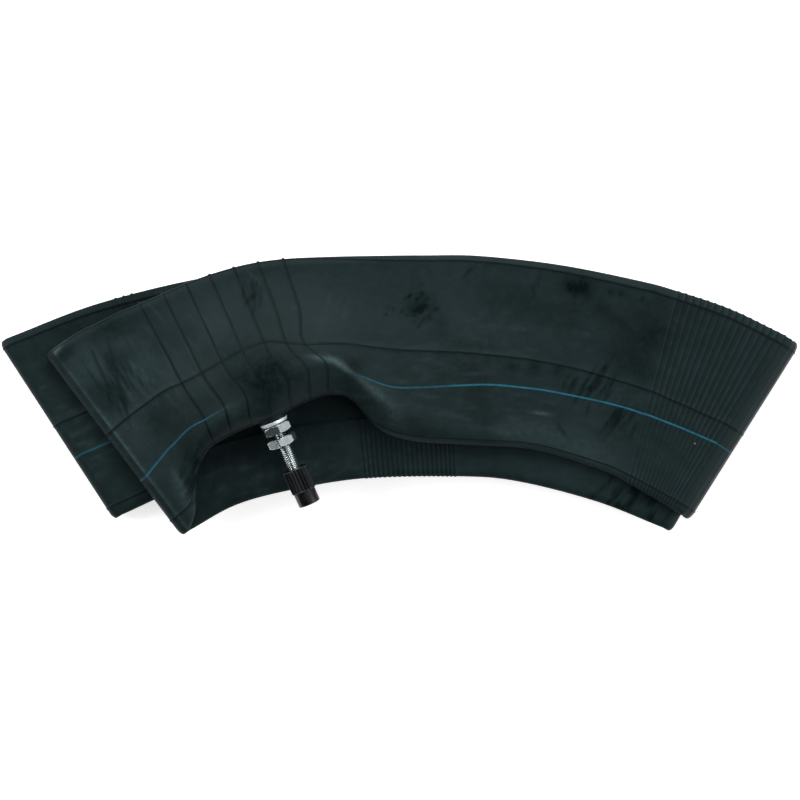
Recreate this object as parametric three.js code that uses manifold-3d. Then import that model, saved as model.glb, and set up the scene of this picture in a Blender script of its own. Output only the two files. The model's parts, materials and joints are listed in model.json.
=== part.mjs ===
// Butyl inner tube for a light motorcycle wheel, let down and folded flat, with a straight threaded metal valve.
// Millimetres, +Z up. The tube lies on the plane z = 0 in four layers, and the valve lies almost level on top.
import * as THREE from "three";
import { mergeVertices } from "three/addons/utils/BufferGeometryUtils.js";
import Module from "manifold-3d";

const wasm = await Module();
wasm.setup();

// ---------- driving dimensions ----------

// The flattened hose: two rubber walls and a little air between them.
const WALL = 1.5;
const LAYER_HEIGHT = 5.6; // one flat layer, over both walls
const LAYER_PITCH = 6.4; // from one layer to the next
const FOLD_HEIGHT = 4.6; // over both walls where they are pressed together in a fold
const CREASE_RADIUS = 5; // how far the tread-side crease takes to reach full height
const POINTS_ROUND = 16; // points round one section of the hose

// The valve's place: the centre of the washer's rubber side, and the stem's direction in plan.
const VALVE_X = -75.5;
const VALVE_Y = -15.8;
const VALVE_PLAN_X = 0.398;
const VALVE_PLAN_Y = -0.917;
const VALVE_TILT = THREE.MathUtils.degToRad(7); // the free end points down by this much
const VALVE_SWELL = 34; // height of the hose where it holds the valve

// Along the valve's axis, from the washer's rubber side outwards.
const GAP = 0.3;
const THREAD_RADIUS = 3.85; // over the crests of the thread
const STEM_TIP = 42;
const FLANGE_RADIUS = 8.5;
const FLANGE_THICKNESS = 1.8;
const PATCH_RADIUS = 12;
const PATCH_THICKNESS = 4.5;
const PATCH_BACK = -GAP - PATCH_THICKNESS;
const PATCH_EDGE = 2.2; // height of the pad's full width, from its back
const WASHER_RADIUS = 8.7;
const WASHER_THICKNESS = 2;
const WASHER_EDGE = 0.7; // thickness at the washer's rim
const WASHER_FACE_RADIUS = 6.8;
const NUT_ACROSS_FLATS = 16;
const NUT_BORE_RADIUS = 4.15;
const BASE_NUT_START = 2.6;
const RIM_NUT_START = 10.5;
const NUT_HEIGHT = 5.3;
const NUT_CHAMFER = 0.9; // along the axis
const BASE_NUT_CORNER = 82; // degrees from the valve's own level direction to a corner
const RIM_NUT_CORNER = 103;
const CAP_START = 31.4;
const CAP_FLUTED_LENGTH = 14.7;
const CAP_LENGTH = 23.1;
const CAP_RADIUS = 7.5;
const CAP_TIP_RADIUS = 6.75;
const CAP_FLUTES = 24;
const CAP_FLUTE_DEPTH = 0.5;
const CAP_BORE_RADIUS = 4.4;
const CAP_BORE_END = STEM_TIP + 2.6;
const CAP_SEAL_BORE = 1.5; // radius
const CAP_SEAL_START = STEM_TIP + 0.4;
const CAP_SEAL_END = STEM_TIP + 2.2;

// The valve core in the stem.
const CHAMBER_RADIUS = 2.9; // bore that holds the core
const CHAMBER_START = 20;
const AIRWAY_RADIUS = 1.6; // bore from the core down to the tube
const BARREL_START = 27;
const BARREL_END = 36.7;
const BARREL_RADIUS = 2;
const BARREL_BORE = 1.5; // radius
const BARREL_FLOOR = 1; // thickness
const SLEEVE_START = 32.5;
const SLEEVE_END = 35.5;
const HEAD_START = 37;
const HEAD_END = 40.8;
const HEAD_HALF_FLATS = 1.4;
const HEAD_FLAT_LENGTH = 2;
const PIN_RADIUS = 0.5;
const PIN_START = 24.4;
const PIN_END = STEM_TIP - 0.4;
const COLLAR_RADIUS = 1.2;
const COLLAR_START = 35.7;
const COLLAR_THICKNESS = 0.6;
const CUP_RADIUS = 2.3;
const CUP_START = 24.7;
const CUP_HEIGHT = 1.6;
const CUP_FLOOR = 0.6; // thickness
const CUP_WALL = 0.3;
const SEAT_RADIUS = 1.7;
const SEAT_START = 25.6;
const SPRING_TURNS = 6;
const SPRING_RADIUS = 1;
const SPRING_WIRE = 0.2; // radius

// ---------- the folded hose ----------

// The straight line about which the hose turns over in each fold, from its tread-side end to its rim-side end.
const frontLeft = { outer: [-208.6, 26.8], inner: [-126.6, -82.1] };
const backLeft = { outer: [-237.2, 33.6], inner: [-168, -72.9] };
const frontRight = { outer: [229.9, 35.7], inner: [163.9, -69.3] };
const backRight = { outer: [222.3, 31.9], inner: [158.3, -80.5] };

function flat(outer, inner) {
  return { outer, inner, height: LAYER_HEIGHT, shoulder: CREASE_RADIUS };
}

function swollen(outer, inner, height, shoulder) {
  return { outer, inner, height, shoulder };
}

function folded(line) {
  return { ...line, height: FOLD_HEIGHT, shoulder: CREASE_RADIUS };
}

// The layers, numbered from the floor up, each as sections across the hose in the order they follow each other.
// height is the hose's height at its rim side, and shoulder is how far in from the rim side it is rounded off.
const layers = [
  {
    level: 3,
    steps: 36,
    sections: [
      folded(frontLeft),
      swollen([-194, 36.5], [-122.6, -71], 6.5, 5.5),
      swollen([-181, 43], [-121.6, -56], 9, 7),
      swollen([-168, 49.5], [-117.5, -38.5], 14, 9),
      swollen([-155.4, 54.5], [-110, -30], 21, 12),
      swollen([-134, 64], [-93, -21.2], 30, 15),
      swollen([-114.6, 71.5], [-76.3, -14], VALVE_SWELL, 18),
      swollen([-92, 77.8], [-58.5, -6.2], 32, 20),
      swollen([-70, 81], [-42, -1], 27, 20),
      swollen([-43, 82.3], [-29, -4], 23, 19),
      swollen([-14, 82.9], [-12, -21.5], 20, 20),
      swollen([16, 83.2], [8, -28.3], 16, 15),
      swollen([48, 82.8], [38, -30.5], 12, 9),
      swollen([96, 77.4], [80, -33.5], 8, 6),
      flat([144, 67.8], [120, -45.5]),
      flat([166, 61.8], [136, -53]),
      flat([198, 51], [151, -61.5]),
      folded(frontRight),
    ],
  },
  {
    level: 0,
    steps: 12,
    sections: [
      folded(frontRight),
      flat([176, 56], [126, -60]),
      flat([104, 72], [74, -47]),
      flat([20, 79], [14, -42]),
      flat([-64, 77], [-46, -43.5]),
      flat([-140, 64], [-100, -50]),
      flat([-192, 49.5], [-138, -58.5]),
      folded(backLeft),
    ],
  },
  {
    level: 1,
    steps: 12,
    sections: [
      folded(backLeft),
      flat([-180, 55.2], [-130, -57]),
      flat([-108, 72], [-76, -46]),
      flat([-36, 79], [-26, -42]),
      flat([40, 79], [28, -42]),
      flat([112, 71], [80, -50]),
      flat([172, 55], [122, -63]),
      folded(backRight),
    ],
  },
  {
    level: 2,
    steps: 12,
    sections: [
      folded(backRight),
      flat([168, 55.5], [118, -64.6]),
      flat([96, 72], [70, -52.4]),
      flat([30, 77.5], [34, -49.5]),
      flat([-34, 77.5], [-20, -50.6]),
      flat([-92, 72], [-62, -57]),
      flat([-150, 56], [-98, -66.5]),
      folded(frontLeft),
    ],
  },
];
const FOLD_STEPS = 6;
const SWELL_REACH = 0.9; // share of the width, from the tread side, over which a swollen section rises
const EDGE_INSET = 1.4; // how much further the inside keeps back at the two edges than at the faces

const middleHeight = (level) => level * LAYER_PITCH + LAYER_HEIGHT / 2;

// A station is one ruled line across the hose, from its rim side to its tread side, with the hose's upper direction.
function layerStations(layer, turnedOver) {
  const z = middleHeight(layer.level);
  const spline = (pick) =>
    new THREE.CatmullRomCurve3(layer.sections.map(pick), false, "catmullrom");
  const outerEdge = spline((s) => new THREE.Vector3(...s.outer, z));
  const innerEdge = spline((s) => new THREE.Vector3(...s.inner, z));
  const shape = spline((s) => new THREE.Vector3(s.height, s.shoulder, 0));
  const stations = [];
  for (let i = 0; i <= layer.steps; i++) {
    const t = i / layer.steps;
    const { x: height, y: shoulder } = shape.getPoint(t);
    stations.push({
      outer: outerEdge.getPoint(t),
      inner: innerEdge.getPoint(t),
      up: new THREE.Vector3(0, 0, turnedOver ? -1 : 1),
      lift: new THREE.Vector3(0, 0, Math.max(0, height - LAYER_HEIGHT) / 2),
      height,
      shoulder,
    });
  }
  return stations;
}

// The stations of a fold, between the end of one layer and the start of the next, which lie above each other.
function foldStations(from, to) {
  const centre = (from.outer.z + to.outer.z) / 2;
  const radius = (from.outer.z - to.outer.z) / 2;
  const along = new THREE.Vector3().subVectors(from.outer, from.inner);
  const away = new THREE.Vector3(along.y, -along.x, 0).normalize();
  if (away.x * from.outer.x < 0) away.negate();
  const stations = [];
  for (let i = 1; i < FOLD_STEPS; i++) {
    const angle = (Math.PI * i) / FOLD_STEPS;
    const side = Math.abs(radius) * Math.sin(angle);
    const rise = centre + radius * Math.cos(angle);
    const up = away
      .clone()
      .multiplyScalar(Math.sin(angle) * Math.sign(radius) * from.up.z);
    up.z = from.up.z * Math.cos(angle);
    const onFold = (end) => end.clone().setZ(rise).addScaledVector(away, side);
    stations.push({
      ...from,
      outer: onFold(from.outer),
      inner: onFold(from.inner),
      up,
      lift: new THREE.Vector3(),
    });
  }
  return stations;
}

// A rounded end: 0 at the edge, 1 from the given distance on.
function rounding(distance, reach) {
  const left = 1 - Math.min(1, Math.max(0, distance) / reach);
  return Math.sqrt(1 - left * left);
}

// A point of the hose's surface. turn runs once round the section from the rim side over the top to the tread
// side and back underneath, and inset moves it into the wall.
function hosePoint(station, turn, inset) {
  const across = new THREE.Vector3().subVectors(station.outer, station.inner);
  const width = across.length();
  const edge = EDGE_INSET * inset;
  const share = (1 - Math.cos(2 * Math.PI * turn)) / 2;
  const distance = edge + share * (width - 2 * edge);
  const swell = THREE.MathUtils.smoothstep(1 - distance / width, 0, SWELL_REACH);
  const height =
    LAYER_HEIGHT + (Math.max(station.height, LAYER_HEIGHT) - LAYER_HEIGHT) * swell;
  const full = station.height < LAYER_HEIGHT ? station.height : height;
  const rimRound = rounding(distance - edge, station.shoulder);
  const treadRound = rounding(width - edge - distance, CREASE_RADIUS);
  const half = (full / 2 - inset) * rimRound * treadRound;
  return station.inner
    .clone()
    .addScaledVector(across, distance / width)
    .addScaledVector(station.lift, swell)
    .addScaledVector(station.up, turn < 0.5 ? half : -half);
}

function hoseStations() {
  const runs = layers.map((layer, i) => layerStations(layer, i % 2 === 1));
  return runs.flatMap((run, i) => {
    const next = runs[(i + 1) % runs.length];
    return [...run, ...foldStations(run.at(-1), next[0])];
  });
}

// The hose as one closed surface that runs round the loop, with the given inset from its outside.
function hoseSurface(inset) {
  const stations = hoseStations();
  const positions = stations.flatMap((station) =>
    Array.from({ length: POINTS_ROUND }, (_, k) =>
      hosePoint(station, k / POINTS_ROUND, inset).toArray(),
    ).flat(),
  );
  const index = [];
  const vertex = (i, k) =>
    (i % stations.length) * POINTS_ROUND + (k % POINTS_ROUND);
  for (let i = 0; i < stations.length; i++)
    for (let k = 0; k < POINTS_ROUND; k++) {
      const [a, b] = [vertex(i, k), vertex(i + 1, k)];
      const [c, d] = [vertex(i + 1, k + 1), vertex(i, k + 1)];
      index.push(a, b, c, a, c, d);
    }
  return new THREE.BufferGeometry()
    .setAttribute("position", new THREE.Float32BufferAttribute(positions, 3))
    .setIndex(index);
}

// ---------- solids ----------

function toSolid(geometry) {
  const bare = geometry.clone();
  bare.deleteAttribute("normal");
  bare.deleteAttribute("uv");
  const merged = mergeVertices(bare, 1e-4);
  return new wasm.Manifold(
    new wasm.Mesh({
      numProp: 3,
      vertProperties: new Float32Array(merged.attributes.position.array),
      triVerts: new Uint32Array(merged.index.array),
    }),
  );
}

function toGeometry(solid) {
  const mesh = solid.getMesh();
  const geometry = new THREE.BufferGeometry();
  geometry.setAttribute("position", new THREE.BufferAttribute(mesh.vertProperties, 3));
  geometry.setIndex(new THREE.BufferAttribute(mesh.triVerts, 1));
  return geometry;
}

// A body of revolution about +Z. The profile is a list of [radius, z], up the outside and down the inside.
function turned(profile, sides = 24) {
  const points = profile.map(([radius, z]) => new THREE.Vector2(radius, z));
  if (points[0].x > 0) points.push(points[0].clone());
  return new THREE.LatheGeometry(points, sides).rotateX(Math.PI / 2);
}

function ring(innerRadius, outerRadius, start, end, sides) {
  const profile = [
    [innerRadius, start],
    [outerRadius, start],
    [outerRadius, end],
    [innerRadius, end],
  ];
  return turned(profile, sides);
}

function pinSolid(radius, start, end, sides = 24) {
  const profile = [
    [0, start],
    [radius, start],
    [radius, end],
    [0, end],
  ];
  return turned(profile, sides);
}

// ---------- the valve ----------

const valveFrame = new THREE.Group();
const axis = new THREE.Vector3(VALVE_PLAN_X, VALVE_PLAN_Y, 0)
  .normalize()
  .multiplyScalar(Math.cos(VALVE_TILT))
  .setZ(-Math.sin(VALVE_TILT));
const level = new THREE.Vector3(0, 0, 1).cross(axis).normalize();
const upright = axis.clone().cross(level);
valveFrame.position.set(VALVE_X, VALVE_Y, 3 * LAYER_PITCH + VALVE_SWELL / 2);
valveFrame.quaternion.setFromRotationMatrix(
  new THREE.Matrix4().makeBasis(level, upright, axis),
);
valveFrame.updateMatrix();

function patchGeometry() {
  const bore = THREAD_RADIUS + 0.5;
  const chamfer = 1;
  return turned([
    [bore, PATCH_BACK],
    [PATCH_RADIUS - chamfer, PATCH_BACK],
    [PATCH_RADIUS, PATCH_BACK + chamfer],
    [PATCH_RADIUS, PATCH_BACK + PATCH_EDGE],
    [WASHER_RADIUS + 2 * GAP, -GAP],
    [bore, -GAP],
  ], 32);
}

function stemGeometry() {
  const flangeFace = PATCH_BACK - GAP;
  const tipChamfer = 0.5;
  const boreCone = 1.5; // length of the step from the core's bore to the airway
  return turned([
    [AIRWAY_RADIUS, flangeFace - FLANGE_THICKNESS],
    [FLANGE_RADIUS - 0.8, flangeFace - FLANGE_THICKNESS],
    [FLANGE_RADIUS, flangeFace - FLANGE_THICKNESS / 2],
    [FLANGE_RADIUS, flangeFace],
    [THREAD_RADIUS, flangeFace],
    [THREAD_RADIUS, STEM_TIP - tipChamfer],
    [THREAD_RADIUS - tipChamfer, STEM_TIP],
    [CHAMBER_RADIUS, STEM_TIP],
    [CHAMBER_RADIUS, CHAMBER_START],
    [AIRWAY_RADIUS, CHAMBER_START - boreCone],
  ]);
}

function washerGeometry() {
  return turned([
    [NUT_BORE_RADIUS, 0],
    [WASHER_RADIUS, 0],
    [WASHER_RADIUS, WASHER_EDGE],
    [WASHER_FACE_RADIUS, WASHER_THICKNESS],
    [NUT_BORE_RADIUS, WASHER_THICKNESS],
  ]);
}

// A hexagon nut, chamfered at both ends.
function nutGeometry(start, cornerAngle) {
  const corner = NUT_ACROSS_FLATS / Math.sqrt(3);
  const end = start + NUT_HEIGHT;
  const chamferRadius = NUT_ACROSS_FLATS / 2;
  const clear = corner + 0.4;
  const hexagon = new THREE.CylinderGeometry(corner, corner, NUT_HEIGHT, 6)
    .rotateX(Math.PI / 2)
    .rotateZ(THREE.MathUtils.degToRad(cornerAngle - 90))
    .translate(0, 0, start + NUT_HEIGHT / 2);
  const chamfers = turned([
    [0, start],
    [chamferRadius, start],
    [clear, start + NUT_CHAMFER],
    [clear, end - NUT_CHAMFER],
    [chamferRadius, end],
    [0, end],
  ], 36);
  const bore = pinSolid(NUT_BORE_RADIUS, start - 1, end + 1);
  return toGeometry(
    toSolid(hexagon).intersect(toSolid(chamfers)).subtract(toSolid(bore)),
  );
}

function capGeometry() {
  const outline = new THREE.Shape();
  for (let i = 0; i < 2 * CAP_FLUTES; i++) {
    const angle = (Math.PI * i) / CAP_FLUTES;
    const radius = i % 2 ? CAP_RADIUS - CAP_FLUTE_DEPTH : CAP_RADIUS;
    const [x, y] = [radius * Math.cos(angle), radius * Math.sin(angle)];
    if (i) outline.lineTo(x, y);
    else outline.moveTo(x, y);
  }
  const fluted = new THREE.ExtrudeGeometry(outline, {
    depth: CAP_FLUTED_LENGTH,
    bevelEnabled: false,
  }).translate(0, 0, CAP_START);
  const end = CAP_START + CAP_LENGTH;
  const chamfer = 0.5;
  const tip = turned([
    [0, CAP_START + 1],
    [CAP_TIP_RADIUS, CAP_START + 1],
    [CAP_TIP_RADIUS, end - chamfer],
    [CAP_TIP_RADIUS - chamfer, end],
    [0, end],
  ]);
  const bore = pinSolid(CAP_BORE_RADIUS, CAP_START - 1, CAP_BORE_END);
  return toGeometry(
    toSolid(fluted).add(toSolid(tip)).subtract(toSolid(bore)),
  );
}

// The core's threaded head, with two flats at its outer end for the core key.
function coreHeadGeometry() {
  const head = ring(PIN_RADIUS + 0.4, CHAMBER_RADIUS - GAP, HEAD_START, HEAD_END, 20);
  const depth = CHAMBER_RADIUS - HEAD_HALF_FLATS;
  const cutter = new THREE.BoxGeometry(2 * CHAMBER_RADIUS, depth, 2 * HEAD_FLAT_LENGTH);
  const cut = (side) => {
    const aside = side * (HEAD_HALF_FLATS + depth / 2);
    return toSolid(cutter.clone().translate(0, aside, HEAD_END));
  };
  return toGeometry(toSolid(head).subtract(cut(1)).subtract(cut(-1)));
}

function barrelGeometry() {
  const footBore = PIN_RADIUS + GAP;
  return turned([
    [footBore, BARREL_START],
    [BARREL_RADIUS - 0.3, BARREL_START],
    [BARREL_RADIUS, BARREL_START + 0.5],
    [BARREL_RADIUS, BARREL_END],
    [BARREL_BORE, BARREL_END],
    [BARREL_BORE, BARREL_START + BARREL_FLOOR],
    [footBore, BARREL_START + BARREL_FLOOR],
  ], 20);
}

function pinGeometry() {
  const collarEnd = COLLAR_START + COLLAR_THICKNESS;
  return turned([
    [0, PIN_START],
    [PIN_RADIUS, PIN_START],
    [PIN_RADIUS, COLLAR_START],
    [COLLAR_RADIUS, COLLAR_START],
    [COLLAR_RADIUS, collarEnd],
    [PIN_RADIUS, collarEnd],
    [PIN_RADIUS, PIN_END],
    [0, PIN_END],
  ], 12);
}

class CoilCurve extends THREE.Curve {
  constructor(start, end) {
    super();
    this.start = start;
    this.end = end;
  }
  getPoint(t, target = new THREE.Vector3()) {
    const angle = 2 * Math.PI * SPRING_TURNS * t;
    const z = this.start + (this.end - this.start) * t;
    return target.set(SPRING_RADIUS * Math.cos(angle), SPRING_RADIUS * Math.sin(angle), z);
  }
}

function springGeometry() {
  const wire = new THREE.Shape();
  wire.absarc(0, 0, SPRING_WIRE, 0, 2 * Math.PI);
  const seat = GAP + SPRING_WIRE + 0.1;
  const coil = new CoilCurve(BARREL_START + BARREL_FLOOR + seat, COLLAR_START - seat);
  return new THREE.ExtrudeGeometry(wire, {
    steps: 9 * SPRING_TURNS,
    curveSegments: 3,
    bevelEnabled: false,
    extrudePath: coil,
  });
}

function cupGeometry() {
  const bore = PIN_RADIUS + GAP;
  return turned([
    [bore, CUP_START],
    [CUP_RADIUS - CUP_WALL, CUP_START],
    [CUP_RADIUS, CUP_START + 0.4],
    [CUP_RADIUS, CUP_START + CUP_HEIGHT],
    [CUP_RADIUS - CUP_WALL, CUP_START + CUP_HEIGHT],
    [CUP_RADIUS - CUP_WALL, CUP_START + CUP_FLOOR],
    [bore, CUP_START + CUP_FLOOR],
  ], 16);
}

// ---------- the assembly ----------

function rubber(color) {
  return new THREE.MeshStandardMaterial({ color, roughness: 0.75, metalness: 0 });
}

function metal(color, roughness) {
  return new THREE.MeshStandardMaterial({ color, roughness, metalness: 1 });
}

function named(name, geometry, material) {
  const mesh = new THREE.Mesh(geometry, material);
  mesh.name = name;
  return mesh;
}

// The hose: an outer and an inner skin, opened where the valve's rubber base sits in the wall.
function hoseGeometry() {
  const skins = toSolid(hoseSurface(0)).subtract(toSolid(hoseSurface(WALL)));
  const seat = pinSolid(PATCH_RADIUS + GAP, PATCH_BACK - 4, 3, 32);
  return toGeometry(skins.subtract(toSolid(seat.applyMatrix4(valveFrame.matrix))));
}

const butyl = rubber(0x2a3435);
const plated = metal(0xc9ced0, 0.25);
const brass = metal(0xb8954d, 0.35);
const blackPlastic = new THREE.MeshStandardMaterial({ color: 0x16191b, roughness: 0.4 });
const sealRubber = rubber(0x191b1c);

const capSeal = ring(CAP_SEAL_BORE, CAP_BORE_RADIUS - GAP, CAP_SEAL_START, CAP_SEAL_END, 20);
const coreSleeve = ring(BARREL_RADIUS + GAP, CHAMBER_RADIUS - GAP, SLEEVE_START, SLEEVE_END, 20);
const coreSeat = ring(PIN_RADIUS + GAP, SEAT_RADIUS, SEAT_START, BARREL_START - GAP, 16);

const valvePieces = [
  named("valve_patch", patchGeometry(), butyl),
  named("valve_stem", stemGeometry(), plated),
  named("rim_washer", washerGeometry(), plated),
  named("base_nut", nutGeometry(BASE_NUT_START, BASE_NUT_CORNER), plated),
  named("rim_nut", nutGeometry(RIM_NUT_START, RIM_NUT_CORNER), plated),
  named("valve_cap", capGeometry(), blackPlastic),
  named("cap_seal", capSeal, sealRubber),
  named("core_head", coreHeadGeometry(), brass),
  named("core_barrel", barrelGeometry(), brass),
  named("core_sleeve", coreSleeve, sealRubber),
  named("core_pin", pinGeometry(), brass),
  named("core_spring", springGeometry(), metal(0xb9bdc0, 0.3)),
  named("core_cup", cupGeometry(), brass),
  named("core_seat", coreSeat, sealRubber),
];
valveFrame.add(...valvePieces);

const part = new THREE.Group();
part.add(named("tube_body", hoseGeometry(), butyl), valveFrame);

// The origin goes to the middle of the underside.
const bounds = new THREE.Box3().setFromObject(part);
const middle = bounds.getCenter(new THREE.Vector3());
part.children.forEach((child) => {
  child.position.x -= middle.x;
  child.position.y -= middle.y;
  child.position.z -= bounds.min.z;
});

export default part;
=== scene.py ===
"""A deflated butyl inner tube, folded flat in four layers, with its straight metal valve."""
import json
import math

import bpy
import numpy as np
from mathutils import Matrix, Vector


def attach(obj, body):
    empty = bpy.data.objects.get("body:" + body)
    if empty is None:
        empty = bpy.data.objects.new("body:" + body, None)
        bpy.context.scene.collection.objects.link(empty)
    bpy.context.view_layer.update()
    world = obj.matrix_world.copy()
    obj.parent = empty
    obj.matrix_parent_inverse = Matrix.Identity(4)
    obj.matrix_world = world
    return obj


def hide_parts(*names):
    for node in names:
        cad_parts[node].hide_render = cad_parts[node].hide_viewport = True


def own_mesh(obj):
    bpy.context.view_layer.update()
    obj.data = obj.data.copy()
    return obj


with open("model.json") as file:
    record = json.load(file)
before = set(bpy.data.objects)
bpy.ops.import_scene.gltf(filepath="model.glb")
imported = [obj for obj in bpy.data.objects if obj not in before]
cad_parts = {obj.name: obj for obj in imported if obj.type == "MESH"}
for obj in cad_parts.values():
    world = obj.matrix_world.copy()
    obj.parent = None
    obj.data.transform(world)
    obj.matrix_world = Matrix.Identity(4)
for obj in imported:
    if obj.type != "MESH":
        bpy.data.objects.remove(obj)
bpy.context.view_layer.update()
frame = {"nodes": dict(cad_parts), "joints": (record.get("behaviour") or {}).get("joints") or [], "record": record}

MM = 0.001

# ---------- the valve's place, from the frame ----------

JOINTS = {joint["name"]: joint for joint in frame["joints"]}
BASE_NUT_END = 7.9  # along the valve's axis, from the washer's rubber side, in mm
AXIS = Vector(JOINTS["base_nut_turn"]["axis"]).normalized()
VALVE_ORIGIN = Vector(JOINTS["base_nut_turn"]["pos_m"]) - AXIS * BASE_NUT_END * MM
LEVEL = Vector((0, 0, 1)).cross(AXIS).normalized()
UPRIGHT = AXIS.cross(LEVEL)
VALVE = Matrix((LEVEL, UPRIGHT, AXIS)).transposed().to_4x4()
VALVE.translation = VALVE_ORIGIN

# ---------- driving dimensions of the hose, in mm, as in the CAD ----------

WALL = 1.5
LAYER_HEIGHT = 5.6
LAYER_PITCH = 6.4
FOLD_HEIGHT = 4.6
CREASE_RADIUS = 5.0
VALVE_SWELL = 34.0
PATCH_RADIUS = 12.0
VALVE_IN_DESIGN = Vector((-75.5, -15.8, 3 * LAYER_PITCH + VALVE_SWELL / 2))
TO_ROW = np.array(VALVE_ORIGIN / MM - VALVE_IN_DESIGN)

FRONT_LEFT = ((-208.6, 26.8), (-126.6, -82.1))
BACK_LEFT = ((-237.2, 33.6), (-168, -72.9))
FRONT_RIGHT = ((229.9, 35.7), (163.9, -69.3))
BACK_RIGHT = ((222.3, 31.9), (158.3, -80.5))


def flat(outer, inner):
    return (*outer, *inner, LAYER_HEIGHT, CREASE_RADIUS, 0.0, 0.0, 0.0)


def swollen(outer, inner, height, shoulder, crest=0.0, bow=0.0, dip=0.0):
    return (*outer, *inner, height, shoulder, crest, bow, dip)


def folded(line):
    return (*line[0], *line[1], FOLD_HEIGHT, CREASE_RADIUS, 0.0, 0.0, 0.0)


# Sections across the hose: tread-side end, rim-side end, height at the rim side, how far the rim
# side is rounded, the crest over that shoulder, and how far the section bows forwards near the
# rim side and back in its middle.
TOP_LAYER = [
    folded(FRONT_LEFT),
    swollen((-194, 36.5), (-122.6, -71), 6.5, 5.5),
    swollen((-181, 43), (-121.6, -56), 9, 7),
    swollen((-168, 49.5), (-117.5, -38.5), 14, 9),
    swollen((-155.4, 54.5), (-110, -30), 21, 12, 0, 2),
    swollen((-134, 64), (-93, -21.2), 30, 15, 0, 4),
    swollen((-114.6, 71.5), (-75.9, -15.0), VALVE_SWELL, 18, 0, 5),
    swollen((-92, 77.8), (-58.5, -6.2), 32, 20, 0.5, 5, 0.5),
    swollen((-70, 81), (-42, -1), 27, 20, 1.5, 5, 5),
    swollen((-43, 82.3), (-29, -4), 23, 19, 2.5, 1, 1),
    swollen((-14, 82.9), (-12, -21.5), 20, 20, 2.5),
    swollen((16, 83.2), (8, -28.3), 16, 15, 1),
    swollen((48, 82.8), (38, -30.5), 12, 9),
    swollen((96, 77.4), (80, -33.5), 8, 6),
    flat((144, 67.8), (120, -45.5)),
    flat((166, 61.8), (136, -53)),
    flat((198, 51), (151, -61.5)),
    folded(FRONT_RIGHT),
]
BOTTOM_LAYER = [
    folded(FRONT_RIGHT),
    flat((176, 56), (126, -60)),
    flat((104, 72), (74, -47)),
    flat((20, 79), (14, -42)),
    flat((-64, 77), (-46, -43.5)),
    flat((-140, 64), (-100, -50)),
    flat((-192, 49.5), (-138, -58.5)),
    folded(BACK_LEFT),
]
THIRD_LAYER = [
    folded(BACK_LEFT),
    flat((-180, 55.2), (-130, -57)),
    flat((-108, 72), (-76, -46)),
    flat((-36, 79), (-26, -42)),
    flat((40, 79), (28, -42)),
    flat((112, 71), (80, -50)),
    flat((172, 55), (122, -63)),
    folded(BACK_RIGHT),
]
SECOND_LAYER = [
    folded(BACK_RIGHT),
    flat((168, 55.5), (118, -64.6)),
    flat((96, 72), (70, -52.4)),
    flat((30, 77.5), (34, -49.5)),
    flat((-34, 77.5), (-20, -50.6)),
    flat((-92, 72), (-62, -57)),
    flat((-150, 56), (-98, -66.5)),
    folded(FRONT_LEFT),
]
# The layers in their order along the hose, each with its place in the stack from the bottom.
LAYERS = [(3, TOP_LAYER), (0, BOTTOM_LAYER), (1, THIRD_LAYER), (2, SECOND_LAYER)]
FIRST_FOLD, LAST_FOLD = 0.5, 3.5  # a fold counts as half a layer past the one before it
FOLD_STEPS = (48, 16, 16, 16)  # sections over each fold; the first one is ribbed
STATION_STEP = 1.5  # mm between sections where the rubber is plain
RIB_STEP = 0.72  # mm between sections where it is ribbed, about
RIB_MARGIN = 5  # fine sections on each side of a block of ribs
LAST_GAP = 0.3  # mm kept free of fine sections before the end of a layer
LENGTH_SAMPLES = 600

# Moulded ribs, by layer: first place along the tread-side edge in mm, number of ribs, spacing,
# height, and how strong the painted highlight on a rib's crest and the painted shadow at its foot are.
RIBS = {
    0: [(59.3, 7, 15.1, 0.4, 0.0, 1.5), (389.5, 22, 4.6, 0.45, 0.3, 0.75)],
    1: [(3.0, 8, 4.6, 0.45, 0.3, 0.5)],
    2: [(70.0, 3, 5.0, 0.3, 0.0, 0.7)],
    3: [(200.5, 20, 3.32, 0.4, 0.0, 0.7)],
}


# ---------- small helpers ----------

def spline(values, t):
    """Catmull-Rom curve through rows of values, at parameters from 0 to 1."""
    values = np.asarray(values, float)
    padded = np.vstack([2 * values[0] - values[1], values, 2 * values[-1] - values[-2]])
    place = np.clip(np.asarray(t) * (len(values) - 1), 0, len(values) - 1 - 1e-9)
    i = place.astype(int)
    f = (place - i)[:, None]
    a, b, c, d = (padded[i + k] for k in range(4))
    square, cube = 2 * a - 5 * b + 4 * c - d, 3 * b - a - 3 * c + d
    return 0.5 * (2 * b + (c - a) * f + square * f**2 + cube * f**3)


def smooth(x, low, high):
    """Smooth step from 0 at low to 1 at high."""
    f = np.clip((x - low) / (high - low), 0, 1)
    return f * f * (3 - 2 * f)


def bump(x, centre, width):
    return np.exp(-(((x - centre) / width) ** 2))


ROUND = 0.5  # the power that makes rounding() a quarter of a circle


def rounding(distance, reach, power=ROUND):
    """Rise from 0 at an edge to 1 at reach from it."""
    left = 1 - np.clip(distance / reach, 0, 1)
    return (1 - left * left) ** power


def new_piece(name, mesh, material, body, slot, *replaced):
    """A visible piece on a moving body, shown in place of CAD nodes."""
    piece = bpy.data.objects.new(name, mesh)
    bpy.context.scene.collection.objects.link(piece)
    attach(piece, body)
    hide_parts(*replaced)
    piece.data.materials.append(material)
    return piece


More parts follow.
